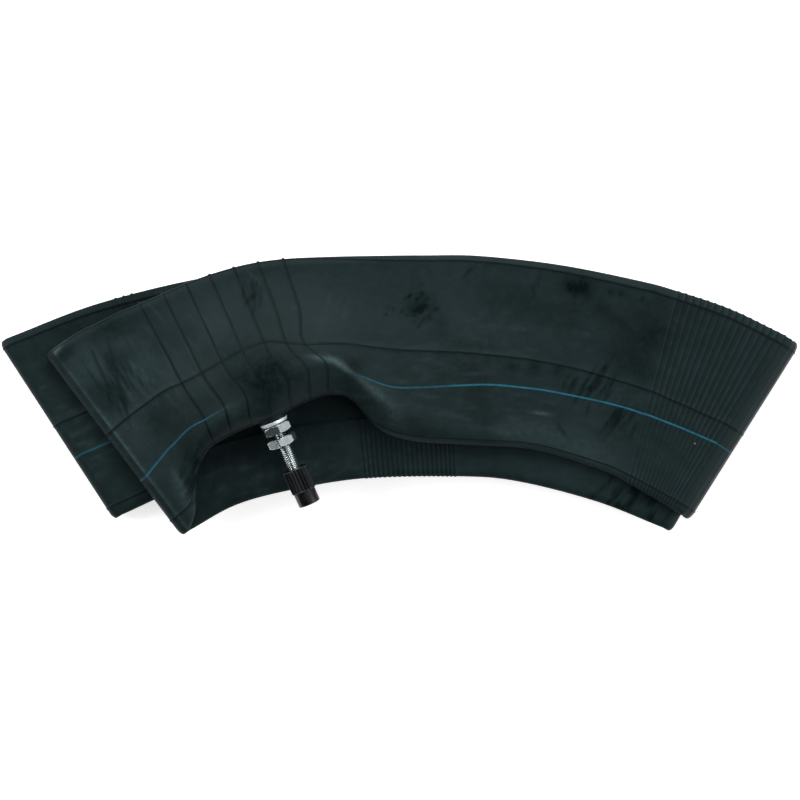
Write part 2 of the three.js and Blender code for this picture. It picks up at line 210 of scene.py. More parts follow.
def mesh_from(name, points, quads, smooth_faces=True):
    mesh = bpy.data.meshes.new(name)
    mesh.vertices.add(len(points))
    mesh.vertices.foreach_set("co", np.asarray(points, np.float32).ravel())
    quads = np.asarray(quads, np.int32)
    mesh.loops.add(quads.size)
    mesh.loops.foreach_set("vertex_index", quads.ravel())
    mesh.polygons.add(len(quads))
    starts = np.arange(0, quads.size, quads.shape[1], dtype=np.int32)
    mesh.polygons.foreach_set("loop_start", starts)
    mesh.update(calc_edges=True)
    mesh.validate()
    mesh.polygons.foreach_set("use_smooth", np.full(len(quads), smooth_faces))
    return mesh


# ---------- the hose ----------

def rib_places(first, count, spacing):
    """Places of the fine sections over a block of ribs, so that every rib's crest lies on one."""
    parts = round(spacing / RIB_STEP)
    return first + np.arange(-RIB_MARGIN, (count - 1) * parts + RIB_MARGIN + 1) * spacing / parts


def layer_stations(index, level, sections):
    """Stations along one layer: arrays of the tread end, rim end, up direction and shape values."""
    probe = np.linspace(0, 1, LENGTH_SAMPLES)
    outer = spline(sections, probe)[:, :2]
    length = np.concatenate([[0], np.cumsum(np.linalg.norm(np.diff(outer, axis=0), axis=1))])
    places = []
    start = 0.0
    beyond = (length[-1] + 99, 1, 5.0)  # past the end, so that the loop fills the last stretch
    for first, count, spacing, *_ in [*RIBS[index], beyond]:
        fine = rib_places(first, count, spacing)
        stop = min(fine[0], length[-1])
        steps = max(1, round((stop - start) / STATION_STEP))
        if stop > start:
            places += list(start + (stop - start) * np.arange(1 if start else 0, steps) / steps)
        places += [place for place in fine if start <= place < length[-1] - LAST_GAP]
        start = fine[-1]
    places = np.array([*places, length[-1]])
    values = spline(sections, np.interp(places, length, probe))
    middle = level * LAYER_PITCH + LAYER_HEIGHT / 2
    number = len(places)
    return {
        "outer": np.column_stack([values[:, 0:2], np.full(number, middle)]),
        "inner": np.column_stack([values[:, 2:4], np.full(number, middle)]),
        "up": np.tile([0.0, 0.0, -1.0 if index % 2 else 1.0], (number, 1)),
        "shape": values[:, 4:],
        "place": places,
        "layer": np.full(number, float(index)),
    }


def fold_stations(run, following, steps):
    """The half turn between the end of one layer and the start of the next."""
    outer, inner, up = run["outer"][-1], run["inner"][-1], run["up"][-1]
    radius = (outer[2] - following["outer"][0, 2]) / 2
    across = outer - inner
    away = np.array([across[1], -across[0], 0.0]) / math.hypot(across[0], across[1])
    away *= 1 if away[0] * outer[0] > 0 else -1
    angles = np.pi * np.arange(1, steps) / steps
    centre = outer[2] - radius
    side, rise = np.abs(radius) * np.sin(angles), centre + radius * np.cos(angles)
    ups = np.outer(np.sin(angles) * np.sign(radius) * up[2], away)
    ups[:, 2] = up[2] * np.cos(angles)

    def on_fold(end):
        points = end + np.outer(side, away)
        points[:, 2] = rise
        return points

    count = len(angles)
    return {
        "outer": on_fold(outer),
        "inner": on_fold(inner),
        "up": ups,
        "shape": np.tile(run["shape"][-1], (count, 1)),
        "place": run["place"][-1] + np.abs(radius) * angles,
        "layer": np.full(count, run["layer"][-1] + 0.5),
    }


def hose_stations():
    """Stations all the way round the hose, through its four layers and four folds."""
    runs = [layer_stations(i, level, sections) for i, (level, sections) in enumerate(LAYERS)]
    joined = []
    for i, run in enumerate(runs):
        joined += [run, fold_stations(run, runs[(i + 1) % len(runs)], FOLD_STEPS[i])]
    return {key: np.concatenate([run[key] for run in joined]) for key in runs[0]}


# Lines moulded along the hose, as shares of its width from the tread side, on side A and on side B.
TREAD_LINE, MID_LINE, STRIPE, RIM_LINE = 0.035, 0.475, 0.655, 0.94
LINES_A = [TREAD_LINE, MID_LINE, STRIPE, RIM_LINE]
LINES_B = [TREAD_LINE, 0.72]
LINE_OFFSETS = np.array([-1.1, -0.5, 0.0, 0.5, 1.1])  # mm, the columns of points at each line
FLAT_WIDTH = 124.0
COLUMNS_A, COLUMNS_B = 86, 56
SIDE_A, SIDE_B = 1, -1
LINE_CLEARANCE = 1.5  # mm without other columns on each side of a line
PATH_SOFTENING = 12  # sections

# Where the wrinkles of the top layer carry those lines: points of the lines in plan, in mm.
MID_PATH = [
    (-200, -45), (-174, -22.8), (-160, -11), (-144.6, 0), (-129, 7.2), (-117, 13.2),
    (-104.4, 20.4), (-92.4, 27), (-80, 31.5), (-66, 31), (-48, 30.6), (-24.6, 29.4), (0, 26.4),
    (36.6, 25.2), (76.8, 21), (107.4, 15), (149.4, 2.4), (181, -11.6), (201.5, -20.7), (225, -31),
]
STRIPE_PATH = [
    (-174, -82), (-153.6, -52.2), (-141.6, -35.4), (-126, -21.6), (-106.2, -9.6), (-84, 1),
    (-62, 11), (-40, 13.5), (-20, 10.2), (-9, 4.8), (0, 3.4), (26.4, 4.6), (54, 6), (86.4, 2.4),
    (123, -4.8), (147.6, -12), (169.2, -20.4), (198.6, -33), (230, -46.5),
]
TREAD_SHARES = ((-66, 0.006), (0, 0.027), (60, 0.03), (120, 0.037), (230, 0.045))
RIM_SHARES = (
    (-126.6, 0.915), (-122.6, 0.95), (-121.6, 0.985), (-40, 0.985), (0, 0.972), (100, 0.968),
    (165, 0.955),
)


def side_columns(lines, count):
    """Places across one side, as shares, closer together at its edges and at the lines."""
    places = list((1 - np.cos(np.pi * np.arange(1, count) / count)) / 2)
    for line in lines:
        places = [p for p in places if abs(p - line) * FLAT_WIDTH > LINE_CLEARANCE]
        places += list(line + LINE_OFFSETS / FLAT_WIDTH)
    return np.array(sorted(places))


def crossing(path, outer, across, fallback):
    """Share of the width at which each section crosses a line drawn in plan."""
    path = np.array(path, float)
    shares = np.full(len(outer), fallback)
    for i, (start, direction) in enumerate(zip(outer[:, :2], across[:, :2])):
        offset = path - start
        aside = offset[:, 0] * direction[1] - offset[:, 1] * direction[0]
        along = offset @ direction / (direction @ direction)
        hits = np.flatnonzero((aside[:-1] > 0) != (aside[1:] > 0))
        if len(hits):
            k = hits[0]
            t = aside[k] / (aside[k] - aside[k + 1])
            shares[i] = along[k] * (1 - t) + along[k + 1] * t
        elif i:
            shares[i] = shares[i - 1]
    return shares


def soften(values, reach):
    """Running mean over reach values on each side, with the ends held."""
    kernel = np.hanning(2 * reach + 1)
    return np.convolve(np.pad(values, reach, mode="edge"), kernel / kernel.sum(), mode="valid")


def hose_shares(stations):
    """Share from the tread side of every grid point, its columns moved to where the lines run."""
    a, b = side_columns(LINES_A, COLUMNS_A), side_columns(LINES_B, COLUMNS_B)
    plain = np.concatenate([[1.0], a[::-1], [0.0], b])
    side = np.concatenate([[0.0], np.full(len(a), SIDE_A), [0.0], np.full(len(b), SIDE_B)])
    shares = np.tile(plain, (len(stations["place"]), 1))
    top = np.flatnonzero(stations["layer"] == 0)
    outer, inner = stations["outer"][top], stations["inner"][top]
    mid = soften(crossing(MID_PATH, outer, inner - outer, MID_LINE), PATH_SOFTENING)
    stripe = soften(crossing(STRIPE_PATH, outer, inner - outer, STRIPE), PATH_SOFTENING)
    tread = np.interp(outer[:, 0], *zip(*TREAD_SHARES))
    rim = np.interp(inner[:, 0], *zip(*RIM_SHARES))
    on_a = side == SIDE_A
    moved = np.column_stack([tread, mid, stripe, rim])
    turned = np.flatnonzero(stations["layer"] == FIRST_FOLD)
    easing = smooth(np.arange(len(turned))[:, None] / len(turned), 0.5, 1)
    moved = np.vstack([moved, moved[-1] * (1 - easing) + np.array(LINES_A) * easing])
    returning = np.flatnonzero(stations["layer"] == LAST_FOLD)
    easing = smooth(np.arange(len(returning))[:, None] / len(returning), 0, 0.5)
    moved = np.vstack([moved, np.array(LINES_A) * (1 - easing) + moved[0] * easing])
    for row, lines in zip([*top, *turned, *returning], moved):
        shares[row, on_a] = np.interp(plain[on_a], [0, *LINES_A, 1], [0, *lines, 1])
    return plain, shares, side


SWELL_SHARE = 0.9  # share of the width at which the swelling has its full height
BLUNT_AT_VALVE, BLUNT_REACH = 0.24, 13.0  # how much blunter the rim side is, and its reach in mm
CREST_WIDTH = 6.5  # mm
BOW_SHARE, BOW_WIDTH = 0.8, 0.13  # where a section bows forwards, as shares of its width
DIP_SHARE, DIP_WIDTH = 0.58, 0.14  # and where it dips back


def hose_grid(stations, shares, side):
    """Base surface of the hose, as rows of points round its sections."""
    outer, inner = stations["outer"], stations["inner"]
    height, shoulder, crest, bow, dip = (column[:, None] for column in stations["shape"].T)
    across = outer - inner
    width = np.linalg.norm(across, axis=1)[:, None]
    distance = (1 - shares) * width
    swell = smooth(shares, 0, SWELL_SHARE)
    full = np.where(height < LAYER_HEIGHT, height, LAYER_HEIGHT + (height - LAYER_HEIGHT) * swell)
    from_valve = np.linalg.norm(inner[:, :2] - VALVE_IN_DESIGN[:2], axis=1)[:, None]
    near_valve = bump(from_valve, 0, BLUNT_REACH) * (stations["layer"] == 0)[:, None]
    blunt = ROUND - BLUNT_AT_VALVE * near_valve
    at_crease = rounding(width - distance, CREASE_RADIUS)
    half = full / 2 * rounding(distance, shoulder, blunt) * at_crease
    lift = np.maximum(0, height - LAYER_HEIGHT) / 2 * swell
    ridge = crest * bump(distance, shoulder, CREST_WIDTH) * (side == SIDE_A)
    points = inner[:, None, :] + across[:, None, :] * (1 - shares)[:, :, None]
    points = points + stations["up"][:, None, :] * (half * side + ridge)[:, :, None]
    forwards = bow * bump(shares, BOW_SHARE, BOW_WIDTH) - dip * bump(shares, DIP_SHARE, DIP_WIDTH)
    points[:, :, 0] += forwards * across[:, 1:2] / width
    points[:, :, 1] -= forwards * across[:, 0:1] / width
    points[:, :, 2] += lift
    return points


def surface_normals(points):
    """Outward directions of a closed grid, from its neighbours both ways."""
    along = np.roll(points, -1, axis=0) - np.roll(points, 1, axis=0)
    round_section = np.roll(points, -1, axis=1) - np.roll(points, 1, axis=1)
    normal = np.cross(along, round_section)
    return normal / np.maximum(np.linalg.norm(normal, axis=2, keepdims=True), 1e-9)


RIB_WIDTH = 0.62  # mm
RIB_REACH = 14  # sections on each side of a rib's crest that it changes
CREST_OFFSET, CREST_SHADE_WIDTH = -0.3, 0.5  # mm along the hose, of the painted highlight on a crest
FOOT_OFFSET, FOOT_SHADE_WIDTH = 0.4, 0.6  # and of the painted shadow at its foot
EDGE_EXTRA, EDGE_SHARE = 1.2, 0.03  # ribs stand this much prouder at the tread-side edge
FADED_BLOCK = (0, 1)  # layer and block of the ribs whose lower middle is worn smooth
WEAR, WEAR_SHARE, WEAR_WIDTH = 0.8, 0.78, 0.16
WEAR_ENDS = (9, 15)  # the ribs between which the wear fades out


def rib_field(stations, points, shares):
    """Painted highlight and shadow, and the height, that the ribs add."""
    shade = np.zeros(points.shape[:2])
    relief = np.zeros(points.shape[:2])
    steps = np.linalg.norm(np.diff(points, axis=0), axis=2)
    travelled = np.vstack([np.zeros(points.shape[1]), np.cumsum(steps, axis=0)])
    for layer, blocks in RIBS.items():
        rows = np.flatnonzero((stations["layer"] >= layer) & (stations["layer"] < layer + 1))
        for block, (first, count, spacing, height, crest, foot) in enumerate(blocks):
            for i in range(count):
                centre = first + i * spacing
                row = rows[np.argmin(np.abs(stations["place"][rows] - centre))]
                near = slice(max(row - RIB_REACH, 0), row + RIB_REACH + 1)
                offset = travelled[near] - travelled[row]
                if (layer, block) == FADED_BLOCK:
                    wear = WEAR * bump(shares[row], WEAR_SHARE, WEAR_WIDTH)
                    worn = 1 - wear * (1 - smooth(i, *WEAR_ENDS))
                    proud = height * worn
                else:
                    worn = 1.0
                    proud = height * (1 + EDGE_EXTRA * bump(shares[row], 0, EDGE_SHARE))
                relief[near] = np.maximum(relief[near], proud * bump(offset, 0, RIB_WIDTH))
                light = crest * bump(offset, CREST_OFFSET, CREST_SHADE_WIDTH)
                dark = foot * bump(offset, FOOT_OFFSET, FOOT_SHADE_WIDTH)
                shade[near] += worn * (light - dark)
    return shade, relief


LINE_HEIGHT, LINE_WIDTH = 0.42, 0.55  # mm
NO_LINE, NO_STRIPE = 9.0, 50.0  # mm, stored where there is none near
RAISED_LINES = [(line, SIDE_A) for line in LINES_A if line != STRIPE]
RAISED_LINES += [(line, SIDE_B) for line in LINES_B]


def line_relief(plain, side):
    """Height that the moulded lines add, by column."""
    relief = np.zeros(len(plain))
    for line, face in RAISED_LINES:
        relief += LINE_HEIGHT * bump((plain - line) * FLAT_WIDTH, 0, LINE_WIDTH) * (side == face)
    return relief


def line_distance(plain, side):
    """Distance in mm from each column to the nearest moulded line."""
    nearest = np.full(len(plain), NO_LINE)
    for line, face in RAISED_LINES:
        distance = np.abs(plain - line) * FLAT_WIDTH
        nearest = np.where(side == face, np.minimum(nearest, distance), nearest)
    return nearest


def build_hose(material):
    """The hose as one closed grid, with what its material needs stored on its points."""
    stations = hose_stations()
    plain, shares, side = hose_shares(stations)
    points = hose_grid(stations, shares, side)
    normals = surface_normals(points)
    shade, relief = rib_field(stations, points, shares)
    relief += line_relief(plain, side)
    tone = rubber_tone(stations, points, side)
    points = (points + normals * relief[:, :, None] + TO_ROW) * MM
    rows, columns = points.shape[:2]
    i, k = np.meshgrid(np.arange(rows), np.arange(columns), indexing="ij")
    ahead, beside = (i + 1) % rows, (k + 1) % columns
    near_row, next_row = i * columns, ahead * columns
    quads = np.stack([near_row + k, next_row + k, next_row + beside, near_row + beside], axis=2)
    mesh = mesh_from("inner_tube_hose", points.reshape(-1, 3), quads.reshape(-1, 4))
    stripe = np.where(side == SIDE_A, (plain - STRIPE) * FLAT_WIDTH, NO_STRIPE)
    store(mesh, "stripe_mm", np.tile(stripe, rows))
    store(mesh, "line_mm", np.tile(line_distance(plain, side), rows))
    # shade holds the ribs' painted highlights and painted shadows
    store(mesh, "shade", shade)
    # tone holds the rub marks and scratches together with painted highlights and painted shade
    store(mesh, "tone", tone)
    store(mesh, "paint", stripe_paint(stations, columns))
    new_piece("inner_tube_hose", mesh, material, "tube", "butyl", "tube_body")


# The painted stripe along the top layer: ends of its changes in mm along X, and how dim it is.
STRIPE_FADES, STRIPE_RETURNS = (-124, -92), (-32, -14)
LEFT_DIM_ENDS, RIGHT_DIM_ENDS = (-124, -110), (20, 40)
LEFT_DIM, RIGHT_DIM, LOWER_PAINT = 0.4, 0.45, 0.5


def stripe_paint(stations, columns):
    """How much of the painted stripe is left: it's rubbed away where the top layer is wrinkled."""
    x = stations["inner"][:, 0]
    back = smooth(x, *STRIPE_RETURNS)
    worn = smooth(x, *STRIPE_FADES) * (1 - back)
    right = RIGHT_DIM * back * (1 - smooth(x, *RIGHT_DIM_ENDS))
    dim = right + LEFT_DIM * (1 - smooth(x, *LEFT_DIM_ENDS))
    paint = np.where(stations["layer"] == 0, 1 - worn - dim, LOWER_PAINT)
    return np.repeat(paint, columns)


# Rub marks, painted highlights and painted shade on the top layer: place in plan, half sizes,
# direction in degrees, tone (below 0 is darker). The places were chosen one by one.
# Painted light among them: highlights along the ridge right of the valve at (-46, 21), (-35, 17), (-17, 3) and
# (-3, -12), along the left fold edge at (-170, -27) and the right one at (190, -45), on the top layer's outer left
# corner at (-206, 26), with painted shade beneath it at (-200, 24), and on the flap at the left inner corner at
# (-129, -62) and (-132, -52); a broad patch of painted light at (-172, 0); painted shade in the hollow beside that
# flap at (-122, -40); and painted shade on the steep rim-side face over the valve at (-77, 11), which is partly a
# real dark blotch too.
RUB_MARKS_AND_PAINTED_LIGHT = [
    (12, 53, 9, 8, 0, -0.5), (24, 42, 5, 5, 0, -0.25), (103, 64, 3.5, 4, -20, -0.6),
    (111, 63.5, 4.5, 5, -20, -0.7), (126, 61, 1.5, 2, 0, -0.6), (132, 60, 1.5, 2, 0, -0.6),
    (145, 57, 1.2, 1.5, 0, -0.7), (152, 62, 1.5, 1, 0, -0.5), (126, 47, 20, 3, -38, -0.3),
    (150, 35, 11, 11, 0, -0.45), (132, 23, 12, 9, -20, -0.45), (144, 14, 9, 6, -20, -0.35),
    (72, 55, 20, 9, -20, -0.25), (-10, 60, 24, 12, 0, -0.15), (60, 38, 40, 14, -10, 0.1),
    (51, -13, 8, 13, 0, -0.2), (67, 16, 4, 3, 0, -0.5), (80.5, 16, 4, 4.5, 0, -0.55),
    (95, 14, 4, 4, 0, -0.5), (41, 73, 3.5, 0.8, 45, -0.7), (97, -22, 4, 0.8, -55, -0.6),
    (85, -11.5, 6, 0.8, -5, 0.7), (80, -24, 40, 9, -10, 0.2), (118, -38, 20, 6, -25, 0.2),
    (-178, -3, 12, 8, -30, -0.4), (-172, 41, 14, 6, 20, -0.45), (-168, 20, 8, 6, 20, -0.25),
    (-160, 18, 14, 9, 0, 0.1), (-142, -14, 9, 9, 0, -0.3), (-88, 62, 5, 7, 0, -0.35),
    (-77, 11, 18, 13, 20, -0.85), (-100, 8, 10, 8, 30, -0.2), (-26, 17, 5, 4, -20, -0.4),
    (-98, -8, 10, 7, 30, 0.15), (-112, 40, 9, 12, -60, 0.12), (-134, 34, 7, 16, -60, -0.15),
    (-47, 44, 22, 12, 0, 0.04), (-46, 21, 9, 1.6, -10, 0.7), (-35, 17, 8, 1.8, -35, 0.8),
    (-17, 3, 13, 3, -40, 0.45), (-3, -12, 10, 5, -55, 0.25), (-122, -40, 5, 14, 25, -0.5),
    (-129, -62, 4, 12, 30, 0.35), (-132, -52, 2, 10, 35, 0.3), (-206, 26, 8, 1.3, 50, 0.9),
    (-200, 24, 6, 3, 50, -0.4), (-170, -27, 2.2, 62, 37.4, 0.8), (-172, 0, 26, 40, 37, 0.28),
    (190, -45, 4, 40, -32, 0.2),
]
LOWER_PAINTED_SHADOW = [(2, -150, 62, 50, 9, 17, -0.4)]  # painted shadow beside the top layer's edge, as above with the layer first
# Groups of short scratches: middle, spread, how many, half length, direction in degrees, tone.
SCRATCHES = [
    (-168, 8, 10, 14, 22, 8, -62, -0.4), (-88, 66, 6, 5, 12, 3, -60, 0.15),
    (-86, 60, 5, 5, 10, 2.5, 70, -0.5), (-38, 50, 12, 9, 14, 3.5, 60, 0.08),
    (112, 6, 12, 7, 26, 4, 55, -0.5), (134, -13, 10, 6, 14, 5, 58, -0.5),
    (-126, -48, 5, 10, 14, 5, 62, -0.4), (12, 50, 10, 10, 40, 1.2, 30, -0.5),
    (95, 66, 18, 4, 14, 3, 80, -0.3), (20, 20, 70, 30, 60, 5, -8, 0.1),
    (60, -5, 60, 18, 50, 6, -10, 0.1), (-150, 20, 30, 30, 40, 5, -50, 0.12),
]
# The same for the strips of the lower layers that show, with the layer first.
LOWER_SCRATCHES = [
    (3, 140, -62, 26, 10, 60, 3, 55, -0.6), (3, -60, -50, 40, 12, 40, 6, 15, 0.15),
    (2, -190, -20, 22, 30, 50, 6, 20, 0.15),
]

MARK_SEED = 342
FACING_UP = {0: SIDE_A, 2: SIDE_A, 3: SIDE_B}  # the side that shows, by layer
SCRATCH_WIDTH, SCRATCH_TURN, SCRATCH_LIMIT = 0.8, 9, 1.3  # mm, degrees, sum of tones
SCRATCH_SPREAD = 1.5  # the stated spread in standard deviations


def stroke(points, x, y, length, width, degrees):
    """A soft oval mark in plan, from 0 to 1."""
    turn = math.radians(degrees)
    dx, dy = points[..., 0] - x, points[..., 1] - y
    along = dx * math.cos(turn) + dy * math.sin(turn)
    aside = dy * math.cos(turn) - dx * math.sin(turn)
    return np.exp(-((along / length) ** 2) - (aside / width) ** 2)


def rubber_tone(stations, points, side):
    """Lighter and darker marks over the rubber, from -1 to 1: rub marks and scratches, with painted highlights and
    painted shade among them.
    """
    random = np.random.default_rng(MARK_SEED)
    tone = np.zeros(points.shape[:2])
    area = {n: np.ix_(stations["layer"] == n, side == face) for n, face in FACING_UP.items()}
    shown = {n: points[area[n]] for n in area}
    for layer, *shape, strength in [(0, *mark) for mark in RUB_MARKS_AND_PAINTED_LIGHT] + LOWER_PAINTED_SHADOW:
        tone[area[layer]] += stroke(shown[layer], *shape) * strength
    for layer, *group in [(0, *group) for group in SCRATCHES] + LOWER_SCRATCHES:
        x, y, spread_x, spread_y, count, length, degrees, strength = group
        total = np.zeros(shown[layer].shape[:2])
        for _ in range(count):
            across, up, size, turn = random.normal(size=4)
            middle = (x + across * spread_x / SCRATCH_SPREAD, y + up * spread_y / SCRATCH_SPREAD)
            half_length = length * (1 + 0.3 * abs(size))
            angle = degrees + SCRATCH_TURN * turn
            total += stroke(shown[layer], *middle, half_length, SCRATCH_WIDTH, angle)
        tone[area[layer]] += np.minimum(total, SCRATCH_LIMIT) * strength
    return np.clip(tone, -1, 1)


def store(mesh, name, values):
    """Keeps a value for each point on the mesh, for its material to read."""
    attribute = mesh.attributes.new(name, "FLOAT", "POINT")
    attribute.data.foreach_set("value", np.asarray(values, np.float32).ravel())


# ---------- the valve, in mm: z runs along its axis from the washer's rubber side ----------

GAP = 0.3
THREAD_PITCH, THREAD_CREST, THREAD_ROOT, THREAD_START = 1.25, 3.85, 3.4, 1.0
FLANK_SLOPE, CREST_FLAT = 2.4, 0.1  # of the thread's section
SHAFT_START, STEM_TIP, TIP_CHAMFER, TIP_RADIUS, TIP_BORE = 3.0, 42.0, 0.6, 3.4, 3.05
PATCH_BACK = -4.8
FLANGE_RADIUS, FLANGE_THICKNESS, NECK_RADIUS = 8.5, 1.8, 4.1
CHAMBER_RADIUS, CHAMBER_FLOOR = 2.9, 20.0
AIRWAY_RADIUS, AIRWAY_END = 1.6, 18.5
NUT_HALF_FLATS, NUT_CORNER, NUT_BORE, NUT_HEIGHT = 8.0, 9.15, 4.15, 5.3
NUT_CHAMFER, NUT_FACE_INSET, NUT_COUNTERSINK = 0.95, 0.15, 0.5
NUT_ROWS = (0.0, 0.12, 0.25, 0.4, 0.6, 0.8, 1.0, 2.6, 4.3, 4.5, 4.7, 4.9, 5.05, 5.18, NUT_HEIGHT)
BASE_NUT_START, BASE_NUT_CORNER = 2.6, 82  # mm, and degrees of one corner round the axis
RIM_NUT_START, RIM_NUT_CORNER = 10.5, 103
WASHER_THICKNESS, BORE_BREAK = 2.0, 0.2
CAP_START, CAP_SHOULDER, CAP_END = 31.4, 46.1, 54.5
CAP_RADIUS, CAP_TIP_RADIUS, CAP_BORE, CAP_BORE_END = 7.5, 6.7, 4.4, STEM_TIP + 2.6
CAP_THREAD_DEPTH = 0.3
CAP_FLUTES, FLUTE_DEPTH, FLUTE_POWER = 24, 0.62, 0.6
HEAD_START, HEAD_END, HEAD_RADIUS = 37.0, 40.8, CHAMBER_RADIUS - GAP
HEAD_PITCH, HEAD_THREAD_DEPTH, HEAD_THREAD_RUNOUT = 0.706, 0.35, 1.6
HEAD_HALF_FLATS, HEAD_FLAT_LENGTH = 1.4, 1.95
HEAD_BORE = 0.9
SPRING_TURNS, SPRING_RADIUS, SPRING_WIRE = 6, 1.0, 0.2
SPRING_START, SPRING_END, PIN_STROKE = 28.6, 35.1, 1.6
TURN_STEPS, WIRE_SIDES = 24, 8
SHARP = math.radians(20)


def in_valve(points):
    """Points of the valve's own frame in mm, moved to the shared frame in metres."""
    turn = np.array(VALVE)
    return points * MM @ turn[:3, :3].T + turn[:3, 3]


def turned_piece(
    name, body, slot, replaced, material, profile, radius_at=None, sides=96, shade_recesses=False
):
    """A body of revolution in the valve's frame. The profile of [radius, z] in mm goes up the
    outside and down the inside, radius_at may change its radius at each angle and height, and
    shade_recesses paints shade where that cuts away."""
    profile = np.array(profile, float)
    angle = 2 * np.pi * np.arange(sides) / sides
    radius = np.repeat(profile[:, :1], sides, axis=1)
    z = np.repeat(profile[:, 1:2], sides, axis=1)
    if radius_at:
        radius = radius_at(radius, angle[None, :], z)
    points = np.stack([radius * np.cos(angle), radius * np.sin(angle), z], axis=2)
    i, k = np.meshgrid(np.arange(len(profile)), np.arange(sides), indexing="ij")
    row, next_row, beside = i * sides, (i + 1) % len(profile) * sides, (k + 1) % sides
    quads = np.stack([row + k, row + beside, next_row + beside, next_row + k], axis=2)
    mesh = mesh_from(name, in_valve(points.reshape(-1, 3)), quads.reshape(-1, 4))
    mesh.set_sharp_from_angle(angle=SHARP)
    store(mesh, "recess", np.clip(profile[:, :1] - radius, 0, 1) * shade_recesses)
    new_piece(name, mesh, material, body, slot, replaced)


def rows_between(start, end, step):
    return np.linspace(start, end, max(2, round((end - start) / step) + 1))


def thread(crest, root, pitch, start, end):
    """Radius of a right-handed screw thread, which runs out at both ends."""

    def radius_at(radius, angle, z):
        phase = (z / pitch - angle / (2 * np.pi)) % 1.0
        depth = np.clip(np.abs(phase - 0.5) * FLANK_SLOPE - CREST_FLAT, 0, 1)
        present = smooth(z, start, start + pitch) * (1 - smooth(z, end - pitch, end))
        cut = (crest - root) * depth * present
        return np.where(np.abs(radius - crest) < 1e-6, radius - cut, radius)

    return radius_at


def build_stem(metal):
    """The stem: a buried flange, the thread with its chamfered tip, and the chamber of the core."""
    thread_end = STEM_TIP - TIP_CHAMFER
    shaft = [(THREAD_CREST, z) for z in rows_between(SHAFT_START, thread_end, THREAD_PITCH / 8)]
    face = PATCH_BACK - GAP
    back = face - FLANGE_THICKNESS
    profile = [
        (AIRWAY_RADIUS, back), (7.7, back), (8.3, face - 1.5), (FLANGE_RADIUS, face - 0.9),
        (FLANGE_RADIUS, face), (NECK_RADIUS, face), (THREAD_CREST, face + 0.3), (THREAD_CREST, 0.0),
        *shaft, (TIP_RADIUS, STEM_TIP), (TIP_BORE, STEM_TIP), (CHAMBER_RADIUS, STEM_TIP - 0.2),
        (CHAMBER_RADIUS, CHAMBER_FLOOR), (AIRWAY_RADIUS, AIRWAY_END),
    ]
    screw = thread(THREAD_CREST, THREAD_ROOT, THREAD_PITCH, THREAD_START, thread_end)
    names = ("threaded_stem", "tube", "plated_metal", "valve_stem")
    turned_piece(*names, metal, profile, screw, 72, True)


def build_washer(metal):
    """The dished washer, widest just above its rubber side."""
    top, bore = WASHER_THICKNESS, NUT_BORE
    profile = [
        (bore, BORE_BREAK), (bore + BORE_BREAK, 0.0), (8.45, 0.0), (8.62, 0.06), (8.7, 0.22),
        (8.6, 0.6), (8.15, 1.75), (8.0, 1.92), (7.7, top), (bore + BORE_BREAK, top),
        (bore, top - BORE_BREAK),
    ]
    turned_piece("dished_washer", "washer", "plated_metal", "rim_washer", metal, profile)


def build_nut(name, body, start, corner_degrees, metal, replaced):
    """A hexagon nut with both ends turned to a cone, and a countersunk bore."""
    corner = math.radians(corner_degrees)
    end = start + NUT_HEIGHT

    def hexagon(radius, angle, z):
        from_face = (angle - corner) % (np.pi / 3) - np.pi / 6
        face = NUT_HALF_FLATS / np.cos(from_face)
        depth = np.minimum(z - start, end - z)
        rise = NUT_CORNER - NUT_HALF_FLATS + 2 * NUT_FACE_INSET
        cone = NUT_HALF_FLATS - NUT_FACE_INSET + rise * depth / NUT_CHAMFER
        outside = np.minimum(np.minimum(face, NUT_CORNER), cone)
        return np.where(radius > NUT_HALF_FLATS, outside, radius)

    profile = [
        (NUT_BORE, start + NUT_COUNTERSINK), (NUT_BORE + NUT_COUNTERSINK, start),
        *((NUT_CORNER, start + z) for z in NUT_ROWS),
        (NUT_BORE + NUT_COUNTERSINK, end), (NUT_BORE, end - NUT_COUNTERSINK),
    ]
    turned_piece(name, body, "plated_metal", replaced, metal, profile, hexagon, 180)


